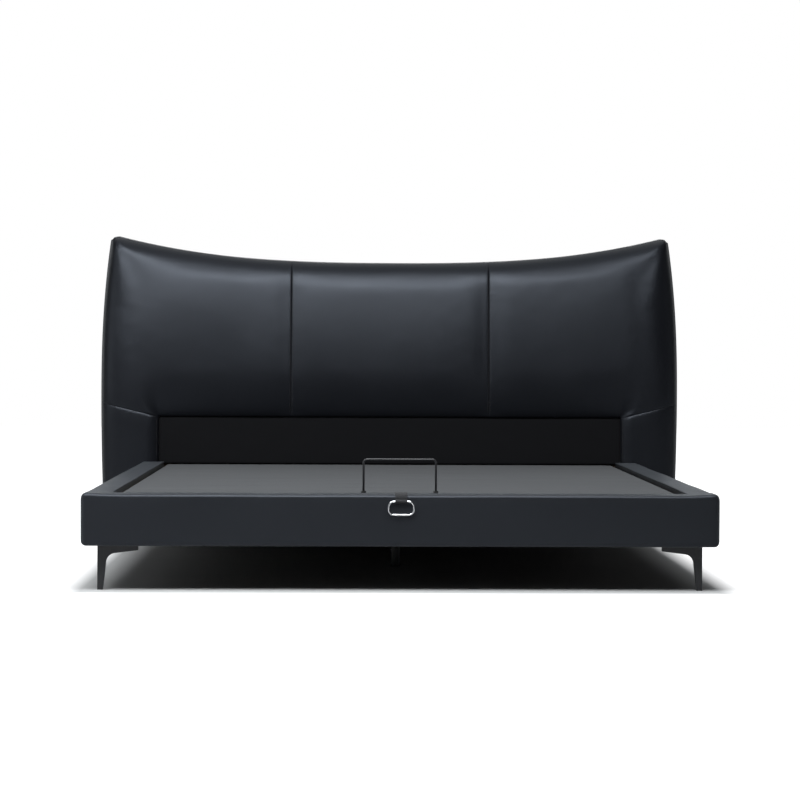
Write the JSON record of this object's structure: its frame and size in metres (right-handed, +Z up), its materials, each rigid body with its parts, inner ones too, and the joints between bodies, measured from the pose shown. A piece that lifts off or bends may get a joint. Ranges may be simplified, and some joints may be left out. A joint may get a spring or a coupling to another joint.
{
  "type": "upholstered lift-up bed",
  "caption": "Low black leather upholstered bed with a wide concave-topped headboard, a lifting mattress platform with gas struts, a retainer bar and a pull strap with a ring.",
  "frame": {"origin": "on the floor, under the middle of the bed", "axes": "+X to the right seen from the foot end, +Y from the foot towards the headboard, +Z up"},
  "size_m": [2.3366, 2.31, 1.213],
  "materials": {
    "leather": "satin black grained leather over foam",
    "platform_fabric": "matt grey non-slip cloth",
    "woven_panel": "matt black open weave",
    "lining": "matt black lining cloth",
    "timber": "planed pine",
    "plywood": "sanded plywood",
    "leg_metal": "satin black powder coat",
    "steel": "dark grey powder coat",
    "zinc": "bright zinc plate",
    "chrome": "polished chrome",
    "cylinder_paint": "gloss black paint",
    "plastic": "black moulded plastic",
    "webbing": "black woven webbing"
  },
  "bodies": {
    "frame": {"base_plate_screws": "zinc", "bracket_screws": "zinc", "centre_beam": "steel", "centre_leg_feet": "plastic", "centre_legs": "leg_metal", "floor_battens": "timber", "foot_corner_brackets": "zinc", "foot_rail_core": "timber", "foot_rail_pad": "leather", "front_left_leg": "leg_metal", "front_right_leg": "leg_metal", "head_brackets": "zinc", "head_cross_rail": "timber", "headboard_back_board": "plywood", "headboard_back_lining": "lining", "headboard_centre_pad": "leather", "headboard_cross_rails": "timber", "headboard_glides": "plastic", "headboard_left_pad": "leather", "headboard_posts": "timber", "headboard_right_pad": "leather", "hinge_pins": "zinc", "left_base_plate": "steel", "left_rail_core": "timber", "left_rail_pad": "leather", "left_storage_floor": "plywood", "left_wing_pad": "leather", "leg_glides": "plastic", "leg_screws": "zinc", "lower_strut_pins": "zinc", "platform_ledgers": "timber", "rear_left_leg": "leg_metal", "rear_right_leg": "leg_metal", "recess_board": "plywood", "recess_fabric_panel": "woven_panel", "right_base_plate": "steel", "right_rail_core": "timber", "right_rail_pad": "leather", "right_storage_floor": "plywood", "right_wing_pad": "leather"},
    "platform": {"platform_cover": "platform_fabric", "foot_deck_panel": "plywood", "head_deck_panel": "plywood", "platform_side_tubes": "steel", "platform_end_tubes": "steel", "platform_cross_tubes": "steel", "left_lift_arm": "steel", "right_lift_arm": "steel", "upper_strut_pins": "zinc", "mattress_retainer": "leg_metal", "retainer_sockets": "plastic", "retainer_nuts": "zinc", "pull_strap": "webbing", "strap_patch": "webbing"},
    "left_cylinder": {"left_gas_cylinder": "cylinder_paint"},
    "left_rod": {"left_gas_rod": "chrome"},
    "right_cylinder": {"right_gas_cylinder": "cylinder_paint"},
    "right_rod": {"right_gas_rod": "chrome"},
    "ring": {"pull_ring": "chrome"}
  },
  "joints": [
    {"name": "platform_lift", "type": "hinge", "parent": "frame", "child": "platform", "pos_m": [0, 0.848, 0.262], "axis": [-1, 0, 0], "range_deg": [0, 40]},
    {"name": "left_strut_swing", "type": "hinge", "parent": "frame", "child": "left_cylinder", "pos_m": [-0.886, 0.448, 0.182], "axis": [1, 0, 0], "range_deg": [0, 9.2]},
    {"name": "left_rod_slide", "type": "slide", "parent": "left_cylinder", "child": "left_rod", "axis": [0, 0.9662, 0.2577], "range_m": [0, 0.0445]},
    {"name": "right_strut_swing", "type": "hinge", "parent": "frame", "child": "right_cylinder", "pos_m": [0.886, 0.448, 0.182], "axis": [1, 0, 0], "range_deg": [0, 9.2]},
    {"name": "right_rod_slide", "type": "slide", "parent": "right_cylinder", "child": "right_rod", "axis": [0, 0.9662, 0.2577], "range_m": [0, 0.0445]},
    {"name": "ring_swing", "type": "hinge", "parent": "platform", "child": "ring", "pos_m": [0, -1.1497, 0.283], "axis": [-1, 0, 0], "range_deg": [0, 100]}
  ],
  "couplings": [
    {"joint": "left_strut_swing", "follows": "platform_lift", "ratio": 0.2272},
    {"joint": "left_rod_slide", "follows": "platform_lift", "m_per_rad": 0.06229},
    {"joint": "right_strut_swing", "follows": "platform_lift", "ratio": 0.2272},
    {"joint": "right_rod_slide", "follows": "platform_lift", "m_per_rad": 0.06229}
  ]
}
